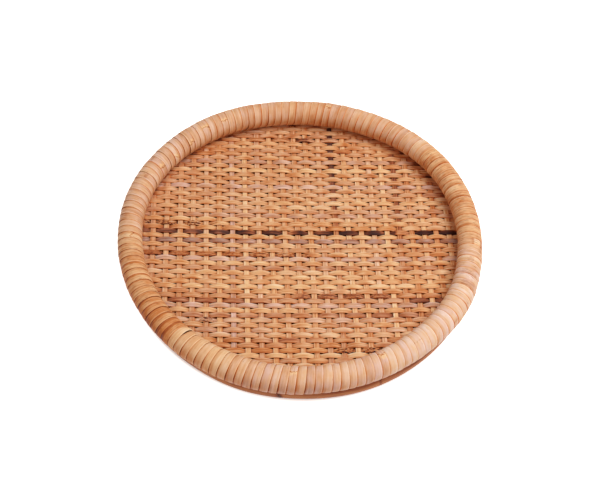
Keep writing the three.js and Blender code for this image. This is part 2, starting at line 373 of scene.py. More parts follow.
def split_cane(name, streak, fibre, fleck, contrast, roughness, shine):
    material, tree = empty_material(name)
    mesh = {word: add_node(tree, "Attribute", attribute_name=word).outputs["Fac"] for word in CANE_MEASURES}
    grain = cane_grain(tree, mesh, streak, fibre, fleck)
    scarred, shade = cane_shade(tree, mesh, grain, contrast)
    straw, shade = mark_leaf_nodes(tree, mesh, grain, shade)
    edge_dust_and_shade, shade = dust_and_shade_edges(tree, mesh, shade)
    coloured = cane_colour(tree, mesh, grain, shade, scarred, straw, edge_dust_and_shade)
    gloss = add_node(tree, "MapRange", {"Value": grain["fibres"], "From Min": -0.2, "From Max": 0.2,
                                        "To Min": roughness - 0.08, "To Max": roughness + 0.10})
    gloss = add_node(tree, "Math", {0: mesh["pith"], 1: PITH_DULLNESS, 2: gloss}, operation="MULTIPLY_ADD")
    relief = add_node(tree, "Math", {0: grain["streaks"], 1: grain["fibres"]}, operation="ADD")
    ridges = add_node(tree, "Bump", {"Strength": 0.6, "Distance": 0.08 * MM, "Height": relief})
    skin = add_node(tree, "BsdfPrincipled", {"Base Color": coloured, "Roughness": gloss, "IOR": 1.5,
                                             "Specular IOR Level": shine, "Normal": ridges})
    add_node(tree, "OutputMaterial", {"Surface": skin})
    print(name, "shader nodes:", len(tree.nodes))
    return material


# Widths of streaks and fibres, and length and width of flecks, are in mm.
binding_finish = split_cane("split_cane_binding", streak=1.3, fibre=0.8, fleck=(5.0, 0.9),
                            contrast=0.19, roughness=0.50, shine=0.10)
warp_finish = split_cane("split_cane_warp", streak=1.0, fibre=0.6, fleck=(2.4, 1.0),
                         contrast=0.50, roughness=0.52, shine=0.12)
weft_finish = split_cane("split_cane_weft", streak=1.0, fibre=0.6, fleck=(2.4, 1.0),
                         contrast=0.58, roughness=0.52, shine=0.12)

# %% [markdown]
# Small faults.
# Nothing on a tray made by hand runs quite straight. A wander is a smooth chance line: a
# random value at even steps, eased from one to the next. The seeds come from the strips'
# numbers, so a strip keeps its faults when another one changes.

# %% Chance lines


def ease(part):
    return part * part * (3 - 2 * part)


def smooth_step(low, high, value):
    return ease(np.clip((value - low) / (high - low), 0.0, 1.0))


def wander(places, every, by, seed):
    values = np.random.default_rng(seed).normal(0.0, by, int(np.ptp(places) / every) + 3)
    reach = (places - places.min()) / every
    before = reach.astype(int)
    part = ease(reach - before)
    return values[before] * (1 - part) + values[before + 1] * part


def between(place, stops, period=None):
    return np.interp(place, *np.transpose(stops), period=period)


print("a chance line:", wander(np.arange(0.0, 30.0, 10.0), every=10.0, by=1.0, seed=1).round(2))

# %% [markdown]
# A piece of the tray.
# Strips and hoops are both tubes: rings of points at many stations, joined by faces and
# closed at both ends. A curve with a bevel would make the same tube, but nothing could then
# tell the shader how far along or across a point is. So the mesh is made here, and its
# points carry the measures that the finish reads.

# %% A maker of pieces
SHARP_ANGLE = math.radians(55)


def tube_faces(stations, corners):
    here = np.arange(stations * corners).reshape(stations, corners)
    beside = np.roll(here, -1, axis=1)
    quads = np.stack([here[:-1], here[1:], beside[1:], beside[:-1]], -1).reshape(-1, 4)
    return quads.tolist() + [here[0].tolist(), here[-1][::-1].tolist()]


def mesh_piece(name, points, measures):
    mesh = bpy.data.meshes.new(name)
    mesh.from_pydata((points.reshape(-1, 3) * MM).tolist(), [], tube_faces(*points.shape[:2]))
    for measure, values in measures.items():
        layer = mesh.attributes.new(measure, "FLOAT", "POINT")
        values = np.broadcast_to(values, points.shape[:2])
        layer.data.foreach_set("value", np.ascontiguousarray(values, np.float32).ravel())
    mesh.polygons.foreach_set("use_smooth", [True] * len(mesh.polygons))
    mesh.set_sharp_from_angle(angle=SHARP_ANGLE)
    mesh.update()
    piece = bpy.data.objects.new(name, mesh)
    bpy.context.collection.objects.link(piece)
    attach(piece, "root")
    return piece


print("faces of a tube of 3 stations and 4 corners:", len(tube_faces(3, 4)))

# %% [markdown]
# One strip of cane.
# The same rounded section is set at every station of a line, as wide as the strip is there
# and turned to the side and outwards as the strip lies. A flat ribbon would do from above,
# but its edges would have no thickness where strips cross.

# %% A maker of strips
# What a strip has when nothing else is said: no leaf node within reach, in mm, and a little dust and painted
# shade along its edges.
NO_LEAF = 30.0
PLAIN_LOOKS = {"leaf": NO_LEAF, "dust_and_shade": 0.35}


def unit(vectors):
    return vectors / np.linalg.norm(vectors, axis=-1, keepdims=True)


def lay_strip(name, line, side, out, half_width, section, looks, crown=1.0):
    across, height, pith = np.array(section).T
    points = (line[:, None] + side[:, None] * (half_width[:, None] * across)[..., None]
              + out[:, None] * (np.reshape(crown, (-1, 1)) * height)[..., None])
    steps = np.linalg.norm(np.diff(line, axis=0), axis=1)
    length = np.concatenate([[0.0], np.cumsum(steps)])
    measures = {"along": length[:, None], "across": half_width[:, None] * across,
                "edge": across, "pith": pith}
    for measure, value in {**PLAIN_LOOKS, **looks}.items():
        value = np.asarray(value, float)
        measures[measure] = value[:, None] if value.ndim == 1 else value
    return mesh_piece(name, points, measures)


print("looks of a plain strip:", PLAIN_LOOKS)

# %% [markdown]
# The shape of the rim.
# A pole bent by hand isn't truly round nor equally thick. The rim's pole, its binding and
# the ends of the mat's strips follow the same shape, so it is set before any of them is
# made. It is a short list of places round the hoop, softened between them; a sculpted
# hoop would be harder to keep the binding and the mat to.

# %% The rim's shape
# Azimuth in degrees, how far the hoop lies out there and how much thicker it is, both in mm.
HOOP_SHAPE = [(0, -0.5, -0.1), (10, 0.1, -0.1), (22, 1.5, -0.3), (32, 2.4, -0.3), (42, 2.8, -0.4),
              (51, 2.3, -0.4), (61, 0.9, -0.1), (72, -0.1, 0.0), (90, -1.1, -0.1), (101, -0.5, -0.2),
              (111, 0.4, 0.0), (122, 0.9, 0.1), (155, 1.4, -0.2), (170, 0.8, -0.3), (180, 0.0, -0.2),
              (190, -0.5, 0.1), (205, -0.5, 0.2), (221, 0.3, 0.3), (232, 0.8, 0.6), (241, 1.2, 0.8),
              (260, 1.8, 0.9), (266, 1.1, 0.6), (280, 0.2, 0.4), (291, -0.6, 0.3), (302, -1.3, 0.3),
              (312, -1.2, 0.3), (321, -0.6, 0.3), (330, 0.1, 0.4), (336, 0.2, 0.4), (342, -0.4, 0.0),
              (350, -0.9, 0.0)]
# The shape at a place is the mean of what the list gives at these steps beside it, in degrees.
SOFT_STEPS = (-3.0, -1.5, 0.0, 1.5, 3.0)
# How far the mat's strips run out past the middle of the foot, in mm.
MAT_TUCK = 3.0


def hoop_shape(azimuth):
    places, outs, extras = np.transpose(HOOP_SHAPE)
    nearby = [np.degrees(azimuth) + step for step in SOFT_STEPS]
    softened = []
    for values in (outs, extras):
        softened.append(sum(np.interp(near, places, values, period=360) for near in nearby) / len(nearby))
    return softened


def hoop_reach(azimuth):
    return RIM_RADIUS + hoop_shape(azimuth)[0]


def under_rim(x, y):
    return np.hypot(x, y) < MAT_RADIUS + MAT_TUCK + hoop_shape(np.arctan2(y, x))[0]


print("hoop out of round by up to", max(abs(out) for place, out, extra in HOOP_SHAPE), "mm")

# %% [markdown]
# The woven mat.
# Warps run from front to back, wefts from side to side, over one warp and under the next.
# The wefts are packed so tightly that they take nearly all the bending. In a hand-woven mat the
# rows sag a little in the middle, lean, and are beaten closer at the back than at the
# front, and those small faults are what make it look woven by hand. An array of one woven
# cell would be quicker, but it could show none of them.

# %% Where the strips lie
# Warps in mm: spacing, place of the middle one, and how far they lean for each mm to the back.
WARP_PITCH = 10.75
WARP_START = -1.95
WARP_LEAN = 0.016
# Wefts: spacing and place of the middle row, and how much the rows sag, close up, slant and fan out.
WEFT_PITCH = 4.6
WEFT_START = 2.8
WEFT_BOW = 1.25e-4
WEFT_BEAT = 1.6e-4
WEFT_SLANT = 3.5e-3
WEFT_SPREAD = 5.0e-5
# Warps and rows that were pushed aside in the weaving: number and shift in mm.
WARP_PUSHES = [(-11, -1.2), (-9, -0.4), (-5, 0.0), (-3, 0.45), (-1, 0.4), (3, -0.15), (7, -0.45),
               (9, -1.2), (11, -2.5)]
ROW_PUSHES = [(3, 0.0), (5, -0.3), (16, -0.3), (18, 0.5), (19, 0.85), (21, 0.85), (23, 0.0),
              (24, -0.3), (26, 0.1)]
# Distance from the middle, in mm, where the rim starts to clamp the mat and where it presses it flat.
CLAMPED_FROM = 122.0
CLAMPED_TO = 133.0
PRESSED_FROM = 130.5
PRESSED_TO = 135.0


def row_place(row, x):
    beaten = WEFT_PITCH * row
    level_row = WEFT_START + beaten - WEFT_BEAT * beaten ** 2 + between(row, ROW_PUSHES)
    return level_row + WEFT_BOW * x ** 2 - (WEFT_SLANT + WEFT_SPREAD * beaten) * x


def warp_place(warp, y):
    return WARP_START + WARP_PITCH * warp + between(warp, WARP_PUSHES) - WARP_LEAN * y


def clamped(x, y):
    return smooth_step(CLAMPED_FROM, CLAMPED_TO, np.hypot(x, y))


def pressed(x, y):
    return smooth_step(PRESSED_FROM, PRESSED_TO, np.hypot(x, y))


WARP_NODES = {0: "warp_middle"}
WARP_NODES.update({-k: f"warp_left_{k:02d}" for k in range(1, 12)})
WARP_NODES.update({k: f"warp_right_{k:02d}" for k in range(1, 13)})
ROWS = np.arange(-30, 31)
print("warps:", len(WARP_NODES), "rows of weft:", len(ROWS))

# %% [markdown]
# How a strip lies.
# A strip bends over and under the others in a wave with flattened tops, because cane lies
# flat on what carries it. Its section is rounded on the skin side and flat on the split
# side, and it tilts a little about its own line. A bare sine wave would look like wire.

# %% Wave and section of a strip
# Place across, height in mm and share of bare pith: skin above, split side below.
CANE_SECTION = [(-1.0, 0.0, 0.2), (-0.95, 0.30, 0), (-0.62, 0.43, 0), (0.0, 0.46, 0), (0.62, 0.43, 0),
                (0.95, 0.30, 0), (1.0, 0.0, 0.2), (0.88, -0.28, 1), (0.0, -0.34, 1), (-0.88, -0.28, 1)]
FLATNESS = 1.1


def eased(wave):
    return np.tanh(FLATNESS * wave) / math.tanh(FLATNESS)


def tilted(side, out, degrees):
    turn = np.radians(degrees)[:, None]
    return side * np.cos(turn) + out * np.sin(turn), out * np.cos(turn) - side * np.sin(turn)


def strip_frame(line, twist):
    run = unit(np.gradient(line, axis=0))
    side = unit(np.cross((0.0, 0.0, 1.0), run))
    return tilted(side, np.cross(run, side), twist)


heights = [height for place, height, pith in CANE_SECTION]
print("thickness of a strip in mm:", round(max(heights) - min(heights), 2))

# %% [markdown]
# The lots of cane.
# No two strips have quite the same colour. Most are gold to tan, and some stand out and
# give the mat its look: one nearly black row across the middle with a grey one in front of
# it, pale pinkish rows, brown ones, a dark warp at the back right and a pale grey one on
# the left. A purely random choice would lose these, so they are named by their number
# from the middle, and only the rest is left to chance.

# %% Colours of the strips
# Tone from 0 for dark to 1 for pale, and bloom, of rows and warps with a colour of their own.
ROW_LOOKS = {-25: (0.67, 0.30), -24: (0.77, 0.0), -23: (0.60, 0.0), -22: (0.61, 0.15), -21: (0.61, 0.30),
             -20: (0.77, 0.35), -19: (0.76, 0.60), -18: (0.69, 0.20), -17: (0.73, 0.55), -16: (0.61, 0.35),
             -15: (0.70, 0.0), -14: (0.74, 1.0), -11: (0.62, 0.20), -10: (0.77, 0.0), -9: (0.70, 0.0),
             -8: (0.73, 0.0), -6: (0.60, 0.40), -5: (0.73, 0.0), -4: (0.72, 0.95), -2: (0.66, 0.30),
             -1: (0.71, 0.10), 0: (0.53, 1.0), 1: (0.68, 0.0), 5: (0.71, 0.15), 6: (0.67, 0.60),
             8: (0.74, 0.30), 10: (0.71, 0.25), 13: (0.78, 1.0), 15: (0.70, 0.20), 17: (0.79, 0.0),
             18: (0.65, 0.20), 19: (0.68, 0.75), 20: (0.69, 0.15), 21: (0.68, 0.15), 22: (0.62, 0.10),
             23: (0.69, 0.10)}
WARP_LOOKS = {-7: (0.73, 0.35), -6: (0.69, 0.0), -5: (0.69, 0.95), -4: (0.80, 0.0), -3: (0.73, 0.50),
              0: (0.64, 0.25), 1: (0.70, 0.10), 2: (0.70, 0.40), 4: (0.78, 0.10), 5: (0.71, 0.15),
              6: (0.75, 0.45), 7: (0.79, 0.0), 9: (0.65, 0.20), 10: (0.78, 0.05), 11: (0.58, 0.10)}
# Strips that change along their length: place in mm from the middle, and tone, bloom or scars there.
BLACK_ROW = 2
RUSTY_ROW = -3
ROW_TONES = {BLACK_ROW: [(-80, 0.29), (-62, 0.28), (-53, 0.06), (-48, 0.10), (-43, 0.25), (-38, 0.27),
                         (-32, 0.13), (-14, 0.20), (-12, 0.44), (-7, 0.44), (-5, 0.26), (22, 0.25),
                         (30, 0.06), (35, 0.06), (40, 0.25), (52, 0.20), (60, 0.06), (70, 0.24),
                         (73, 0.30), (79, 0.30), (81, 0.64), (92, 0.60), (94, 0.06)],
             RUSTY_ROW: [(-130, 0.55), (-45, 0.55), (-10, 0.59), (20, 0.66)],
             -12: [(-30, 0.64), (-8, 0.54), (70, 0.54), (95, 0.64)],
             -13: [(-110, 0.44), (-40, 0.48), (-20, 0.64), (80, 0.64), (88, 0.34)],
             25: [(-60, 0.68), (-3, 0.66), (0, 0.36), (8, 0.36), (11, 0.66), (35, 0.70)]}
ROW_BLOOMS = {BLACK_ROW: [(-55, 0.45), (-40, 0.20), (80, 0.20), (82, 0.30), (92, 0.30), (94, 0.0)],
              RUSTY_ROW: [(0, 0.1)], -12: [(0, 0.25)], -13: [(0, 0.4)]}
ROW_SCARS = {RUSTY_ROW: [(-60, 1.1), (-45, 1.2), (5, 1.4), (15, 0.3)],
             -12: [(-20, 0.0), (0, 1.2), (70, 1.2), (85, 0.0)], 4: [(-75, 1.8), (-60, 0.3)],
             -17: [(-84, 0.0), (-80, 1.8), (-70, 1.8), (-66, 0.0)],
             -23: [(20, 0.0), (28, 1.7), (62, 1.7), (70, 0.2)],
             25: [(-50, 0.1), (-40, 1.0), (40, 1.0), (50, 0.1)]}
NO_SCARS = [(0, 0.0)]
WARP_TONES = {3: [(-60, 0.62), (15, 0.50), (40, 0.36), (90, 0.20)],
              8: [(-20, 0.60), (20, 0.38), (100, 0.36), (120, 0.46)]}
WARP_BLOOMS = {8: 0.25}
# Lots follow each other by this step, so that neighbours never share a grain.
LOT_STEP = 0.618
print("strips with a colour of their own:", len({*ROW_LOOKS, *ROW_TONES}) + len({*WARP_LOOKS, *WARP_TONES}))

# %% [markdown]
# Tone, bloom and scars along a strip.
# The tone drifts slowly along a strip and changes a little from one crossing to the next.
# Where a strip dips under another it is painted darker and redder, as painted shade. Towards
# the rim the mat is painted darker, partly grime and partly painted shade of the rim, and
# darkest in the painted shadow right under it. All are taken off the tone here, so that the
# finish itself needs to know nothing about the weave.

# %% Looks of the strips
# Painted shade: loss of tone where a strip is tucked under another, towards the rim (partly grime), and in
# the shadow hard against it.
TUCKED_SHADE = 0.16
RIM_GRIME_AND_SHADE = 0.04
SHADOW_AT_RIM = 0.10
# Distances from the middle, in mm, where the grime and painted shade and the painted shadow at the rim begin
# and where they are full.
RIM_GRIME_AND_SHADE_SPAN = (50.0, 125.0)
SHADOW_AT_RIM_SPAN = (128.0, 136.0)
# The most bloom that a strip has by chance.
CHANCE_BLOOM = 0.45


def cane_looks(seed, middle, spread):
    rng = np.random.default_rng(seed)
    return middle + spread * rng.normal(), rng.uniform(0.0, CHANCE_BLOOM)


def row_looks(row, x):
    tone, bloom = ROW_LOOKS.get(row, cane_looks(1000 + row, middle=0.695, spread=0.042))
    tone = tone + wander(x, every=35.0, by=0.025, seed=1200 + row)
    tone = tone + wander(x, every=6.0, by=0.035, seed=1300 + row)
    bloom = np.clip(bloom + wander(x, every=30.0, by=0.10, seed=1400 + row), 0.0, 1.0)
    if row in ROW_TONES:
        tone = between(x, ROW_TONES[row])
    if row == BLACK_ROW:
        tone = tone + wander(x, every=4.0, by=0.05, seed=1302)
    if row == RUSTY_ROW:
        tone = tone + wander(x, every=5.0, by=0.04, seed=1303)
    if row in ROW_BLOOMS:
        bloom = between(x, ROW_BLOOMS[row])
    scar = between(x, ROW_SCARS.get(row, NO_SCARS))
    return {"tone": tone, "bloom": bloom, "scar": scar, "lot": (row * LOT_STEP) % 1.0}


def warp_looks(warp, y):
    tone, bloom = WARP_LOOKS.get(warp, cane_looks(2000 + warp, middle=0.715, spread=0.05))
    tone = tone + wander(y, every=30.0, by=0.03, seed=2200 + warp)
    tone = tone + wander(y, every=6.0, by=0.03, seed=2300 + warp)
    if warp in WARP_TONES:
        tone = between(y, WARP_TONES[warp])
    bloom = WARP_BLOOMS.get(warp, bloom) + wander(y, every=30.0, by=0.05, seed=2400 + warp)
    return {"tone": tone, "bloom": np.clip(bloom, 0, 1), "scar": 0.0, "lot": (warp * LOT_STEP + 0.3) % 1.0}


def mat_shade(x, y, hidden):
    reach = np.hypot(x, y)
    # Darker towards the rim, partly grime and partly painted shade, and a painted shadow right under the rim.
    rim_grime_and_shade = RIM_GRIME_AND_SHADE * smooth_step(*RIM_GRIME_AND_SHADE_SPAN, reach) + SHADOW_AT_RIM * smooth_step(*SHADOW_AT_RIM_SPAN, reach)
    return TUCKED_SHADE * hidden + rim_grime_and_shade


tones = [tone for tone, bloom in ROW_LOOKS.values()]
print("tones of the rows from", min(tones), "to", max(tones))

# %% [markdown]
# The warps.
# They are stretched over the foot hoop first and stay nearly straight: each dips only a
# little under a weft. Where rim and foot clamp the mat the strips come down, and their ends
# are pressed flat there, so that no light shows between mat and rim.

# %% Lay the warps
STRIP_REACH = MAT_RADIUS + 7.0
WARP_STATION = 1.15
WARP_HALF_WIDTH = 2.12
# In mm: half the height of a warp's wave, what the clamp adds, and how far clamp and press lower it.
WARP_DIP = 0.05
CLAMPED_DIP = 0.35
CLAMP_SINK = 0.5
PRESS_SINK = 0.25
# A strip's wave is 1 on top and -1 below. Between these values a warp goes from open to tucked.
WARP_TUCKED = (0.4, -0.3)

for warp, node in sorted(WARP_NODES.items()):
    y = np.arange(-STRIP_REACH, STRIP_REACH, WARP_STATION)
    y = y[under_rim(warp_place(warp, y), y)]
    x = warp_place(warp, y) + wander(y, every=45.0, by=0.16, seed=3000 + warp)
    row_at = np.interp(y, row_place(ROWS, x.mean()), ROWS)
    wave = -np.cos(np.pi * (row_at - warp))
    height = (WARP_DIP + CLAMPED_DIP * clamped(x, y)) * (1.0 - pressed(x, y))
    z = MAT_LEVEL - CLAMP_SINK * clamped(x, y) - PRESS_SINK * pressed(x, y) + height * eased(wave)
    line = np.stack([x, y, z], -1)
    side, out = strip_frame(line, wander(y, every=30.0, by=1.5, seed=3200 + warp))
    width = WARP_HALF_WIDTH * (1.0 + wander(y, every=40.0, by=0.02, seed=3400 + warp))
    looks = warp_looks(warp, y)
    # Painted shade where the warp is tucked under a weft, and towards the rim.
    looks["tone"] = looks["tone"] - mat_shade(x, y, smooth_step(*WARP_TUCKED, wave))
    piece = lay_strip(node.replace("warp", "warp_cane"), line, side, out, width, CANE_SECTION, looks)
    piece.data.materials.append(warp_finish)
    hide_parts(node)
print("warps laid:", len(WARP_NODES))

# %% [markdown]
# The wefts.
# Each is woven over one warp and under the next, and its neighbours the other way about.
# A weft spreads where it floats over a warp and is pinched where it dips. Past the last
# warp there is nothing to weave with, so it lies free there, and as wide as its row. One
# line from side to side, with the wave worked out from the warps' places, keeps the
# weave true however the warps lean.

# %% The course of a weft
WEFT_STATION = 1.2
WARP_NUMBERS = np.arange(-14, 16)
# Half the height of a weft's wave, what the clamp takes off it, and the lift past the last warp.
WEFT_RISE = 0.95
CLAMP_FLATTENS = 0.6
FREE_LIFT = 0.3
# How far past the last warp, in mm, a weft begins to be free and is quite free.
FREE_SPAN = (3.0, 8.0)
# Half width of a weft, how much more it has on a warp and less under one, and where it lies snug.
WEFT_HALF_WIDTH = 2.24
WEFT_FLOAT = 0.16
WEFT_PINCH = 0.22
SNUG_HALF_WIDTH = 2.38
# Values of the wave between which a weft gets pinched, and how strongly it narrows in closer rows.
PINCH_SPAN = (-0.1, -0.75)
WEFT_NARROWS = 1.1


def weft_course(row):
    x = np.arange(-STRIP_REACH, STRIP_REACH, WEFT_STATION)
    x = x[under_rim(x, row_place(row, x))]
    y = row_place(row, x) + wander(x, every=35.0, by=0.07, seed=4000 + row)
    warp_at = np.interp(x + WARP_LEAN * y, warp_place(WARP_NUMBERS, 0.0), WARP_NUMBERS)
    wave = np.cos(np.pi * (warp_at - row))
    uneven = 1.0 + wander(x, every=12.0, by=0.06, seed=4100 + row)
    height = WEFT_RISE * uneven - CLAMP_FLATTENS * clamped(x, y)
    # A weft lies snug where it is free, past the last warp, and where the rim presses it flat.
    past_warps = np.maximum(warp_place(min(WARP_NODES), y) - x, x - warp_place(max(WARP_NODES), y))
    free = smooth_step(*FREE_SPAN, past_warps)
    snug = np.maximum(free, pressed(x, y))
    z = MAT_LEVEL - CLAMP_SINK * clamped(x, y) + FREE_LIFT * free + (1.0 - snug) * height * eased(wave)
    return np.stack([x, y, z], -1), wave, snug


def weft_width(row, x, wave, snug):
    # Rows are beaten closer at the back, so a weft has less room there.
    room = WEFT_HALF_WIDTH * (1.0 - WEFT_NARROWS * WEFT_BEAT * WEFT_PITCH * row)
    uneven = 1.0 + wander(x, every=30.0, by=0.015, seed=4300 + row)
    width = (room + WEFT_FLOAT * np.clip(wave, 0.0, 1.0) ** 2) * uneven
    width = width - WEFT_PINCH * smooth_step(*PINCH_SPAN, wave)
    return width + (SNUG_HALF_WIDTH - width) * snug


print("stations of the middle weft:", len(weft_course(0)[0]))

# %% [markdown]
# Laying the wefts.
# The solids join three neighbouring rows to one band, and each weft stands in for its row of
# a band; the outermost bands also take the last rows, which the rim hides. Where a weft
# dips it has less bloom and darker, redder edges: painted shade in its crevices.

# %% Lay the wefts
# Share of the bloom that a dip takes and the bloom that stays, both part of the painted shade there; then
# dust and painted shade on top, and more painted shade in the crevices.
BLOOM_LOST = 0.5
BLOOM_LEFT = 0.25
TOP_DUST_AND_SHADE = 0.3
CREVICE_SHADE = 0.9
# Values of the wave between which a weft gets tucked under a warp, and between which painted shade gathers in
# the crevices.
WEFT_TUCKED = (-0.40, -0.85)
CREVICE_SHADE_SPAN = (0.2, -0.5)


def band_of(row):
    band = max(-9, min(9, round(row / 3)))
    if band == 0:
        return "weft_band_middle"
    return f"weft_band_{'back' if band > 0 else 'front'}_{abs(band):02d}"


for row in ROWS:
    line, wave, snug = weft_course(row)
    x, y = line[:, 0], line[:, 1]
    side, out = strip_frame(line, wander(x, every=14.0, by=2.5, seed=4200 + row))
    width = weft_width(row, x, wave, snug)
    hidden = smooth_step(*WEFT_TUCKED, wave)
    looks = row_looks(row, x)
    # Painted shade: darker where the weft is tucked under a warp, and towards the rim.
    looks["tone"] = looks["tone"] - mat_shade(x, y, hidden) * np.clip(2.0 * looks["tone"], 0.0, 1.0)
    looks["bloom"] = np.maximum(looks["bloom"] * (1.0 - BLOOM_LOST * hidden), BLOOM_LEFT * hidden)
    looks["dust_and_shade"] = TOP_DUST_AND_SHADE + CREVICE_SHADE * smooth_step(*CREVICE_SHADE_SPAN, wave)
    piece = lay_strip(f"weft_cane_{row + 31:02d}", line, side, out, width, CANE_SECTION, looks)
    piece.data.materials.append(weft_finish)
    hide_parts(band_of(row))
print("wefts laid:", len(ROWS))

# %% [markdown]
# The bound rim.
# A pole is bent to a hoop and wound with flat cane, turn beside turn, in six lengths. Each
# turn is as wide as the room it has: narrower inside the hoop than outside. The line
# between two turns wanders a little, because no two turns are pulled equally tight. So the
# grooves are placed first, and each turn fills the room between two of them; a plain
# helix of one width would leave gaps outside or overlap inside. Places on the rim are given
# by two angles: the azimuth round the hoop, and the tube angle round the pole, which is 0
# outside, 90 on top and 180 inside.

# %% Turns of the binding
TURNS_A_STRIP = 23
TURNS = BINDING_STRIPS * TURNS_A_STRIP
TURN_STEP = 2 * math.pi / TURNS
TURN_LENGTH = 2 * math.pi * TUBE_RADIUS
STATIONS_A_TURN = 48
BINDING_START = math.radians(-5.0)
# Every turn lies a little over the next, in mm, and leans, in degrees, so one edge stands proud.
TURN_OVERLAP = 0.22
TURN_LEAN = 1.4

luck = np.random.default_rng(77)
groove_wander = luck.normal(0.0, 0.05, 2 * TURNS)
groove_gap = luck.uniform(-TURN_OVERLAP, -0.04, 3 * TURNS)
groove_dust = luck.uniform(0.55, 1.0, 3 * TURNS)
turn_shade = luck.normal(0.0, 1.0, (TURNS + 1, 2))


def drift(knots, turn):
    reach = turn * len(knots) / TURNS
    before = np.floor(reach).astype(int)
    part = ease(reach - before)
    return knots[before % len(knots)] * (1 - part) + knots[(before + 1) % len(knots)] * part


def turn_at(azimuth, tube, middle=0.5):
    part = (tube + 90.0) / 360.0
    whole = (math.radians(azimuth) - BINDING_START) % (2 * math.pi) / TURN_STEP
    return round(whole - middle - part) + part


def off_mm(turn, spot):
    return (turn - spot) * TURN_LENGTH


def groove_place(turn):
    return BINDING_START + (turn + drift(groove_wander, turn)) * TURN_STEP


print("turns:", TURNS, "of", round(TURN_STEP * RIM_RADIUS, 2), "mm")

# %% [markdown]
# The grooves between the turns.
# The cane is as wide outside the hoop as on top, so outside the turns spread and a dark
# line shows between them, most along the front. At one place on the front left two turns
# have parted and left a slit. Painted lines would look flat from the side, so the grooves
# are part of the shape.

# %% Grooves of the binding
# Azimuth in degrees and how far the turns spread outside, in mm.
GROOVE_SPREADS = [(0, 0.1), (180, 0.15), (186, 0.22), (224, 0.22), (228, 0.40), (270, 0.35), (292, 0.12)]
# Tube angles in degrees between which the turns begin to spread, down from the top and up from below.
SPREAD_FROM_TOP = (75.0, 5.0)
SPREAD_FROM_BELOW = (-90.0, -50.0)
# The slit, at this azimuth and tube angle in degrees, with its width and half length in mm.
SLIT = turn_at(229.5, 114, middle=0.0)
SLIT_WIDTH = 0.9
SLIT_REACH = 6.0


def groove_width(turn):
    tube = turn % 1.0 * 360.0 - 90.0
    azimuth = np.degrees(BINDING_START + turn * TURN_STEP)
    outside = smooth_step(*SPREAD_FROM_TOP, tube) * smooth_step(*SPREAD_FROM_BELOW, tube)
    spread = between(azimuth, GROOVE_SPREADS, period=360) * outside
    slit = SLIT_WIDTH * np.exp(-(off_mm(turn, SLIT) / SLIT_REACH) ** 4)
    return drift(groove_gap, turn) + spread + slit


print("the slit is on turn", round(SLIT, 2))

# %% [markdown]
# Colours of the binding.
# The binder used several lengths of cane: a golden one on the right, a long pinkish one round
# the back, a brown streaky one on the left, and a pale one along the front. Leaf nodes and
# bruises are placed where they are on the real tray, since on a rim this plain they are
# what the eye finds again.

# %% Marks on the binding
# Azimuth in degrees, tone, bloom and how weathered the cane is.
BINDING_LENGTHS = [(354.6, 0.72, 0.20, 1.4), (12.0, 0.71, 0.12, 1.45), (37.7, 0.72, 0.06, 1.4),
                   (38.0, 0.75, 0.55, 0.9), (60.0, 0.74, 0.52, 0.9), (80.0, 0.68, 0.50, 0.8),
                   (110.0, 0.73, 0.52, 0.95), (150.0, 0.76, 0.70, 0.95), (178.0, 0.76, 0.50, 1.0),
                   (184.0, 0.71, 0.16, 1.2), (205.0, 0.65, 0.04, 1.42), (226.2, 0.555, 0.0, 1.45),
                   (226.5, 0.77, 0.15, 0.8), (244.0, 0.77, 0.25, 0.9), (252.0, 0.78, 0.78, 0.9),
                   (280.0, 0.78, 0.70, 0.75), (300.0, 0.84, 0.84, 0.6), (322.0, 0.87, 0.90, 0.6),
                   (332.0, 0.87, 0.90, 1.1), (354.4, 0.83, 0.76, 1.25)]
# Azimuth and tube angle in degrees of the leaf nodes that show.
LEAF_NODES = [(79, 96), (117, 118), (125, 108), (134, 140), (142, 148), (149.5, 130), (183.6, 95),
              (266, 88), (294, 97)]
# Azimuth, tube angle, half length in mm and change of tone: tucked ends, their cuts and pale turns.
MARKS = [(353.7, 60, 4.5, 0.18), (353.7, 84, 1.0, -0.25), (353.7, 34, 1.0, -0.25), (323, 45, 3.0, 0.08),
         (323, 32, 1.0, -0.14), (228, 85, 26.0, 0.05)]
# Azimuth, tube angle and length in mm of the bruises that show.
BRUISES = [(2.0, 125, 4.0), (6.0, 80, 3.0), (9.7, 105, 3.5), (12.9, 95, 3.0), (15.5, 140, 6.0),
           (21.0, 110, 4.0), (26.0, 128, 5.0), (31.0, 95, 3.0), (34.0, 140, 5.0), (149, 65, 1.5),
           (155.5, 95, 2.0), (174, 55, 4.0), (188.4, 60, 5.0), (307, 75, 1.5), (336, 70, 6.0),
           (342.5, 80, 6.0), (346, 85, 2.0), (351, 40, 2.0)]
# Azimuth and share: turns whose outside is painted in shade low down, and turns that are more crowned.
SHADED_TURNS = [(184, 0), (190, 1), (275, 1), (295, 0)]
CROWNED_TURNS = [(184, 0), (190, 1), (285, 1), (330, 0.5), (350, 0)]
print("leaf nodes:", len(LEAF_NODES), "bruises:", len(BRUISES))

# %% [markdown]
# Leaf nodes, dirt and painted shade along the binding.
# Each point of a strip is told how far off the next leaf node is, and how much dust and
# painted shade lies in the grooves beside it. The sides have more of it than the top, as
# painted shade: the grooves there face away from the light. The section is needed here,
# because each half of it takes the dust and shade of the groove next to it.

# %% Leaf nodes, dirt and painted shade of the binding
# A section with a crowned skin and rounded shoulders: place across, height in mm for a crown of 1, pith.
BINDING_SECTION = [(-1.0, -1.00, 0), (-1.0, -0.66, 0), (-0.95, -0.44, 0), (-0.83, -0.22, 0),
                   (-0.58, -0.07, 0), (-0.2, 0.0, 0), (0.2, 0.01, 0), (0.58, -0.04, 0), (0.82, -0.12, 0),
                   (0.94, -0.23, 0), (1.0, -0.38, 0), (0.97, -0.55, 0), (0.86, -1.00, 0)]
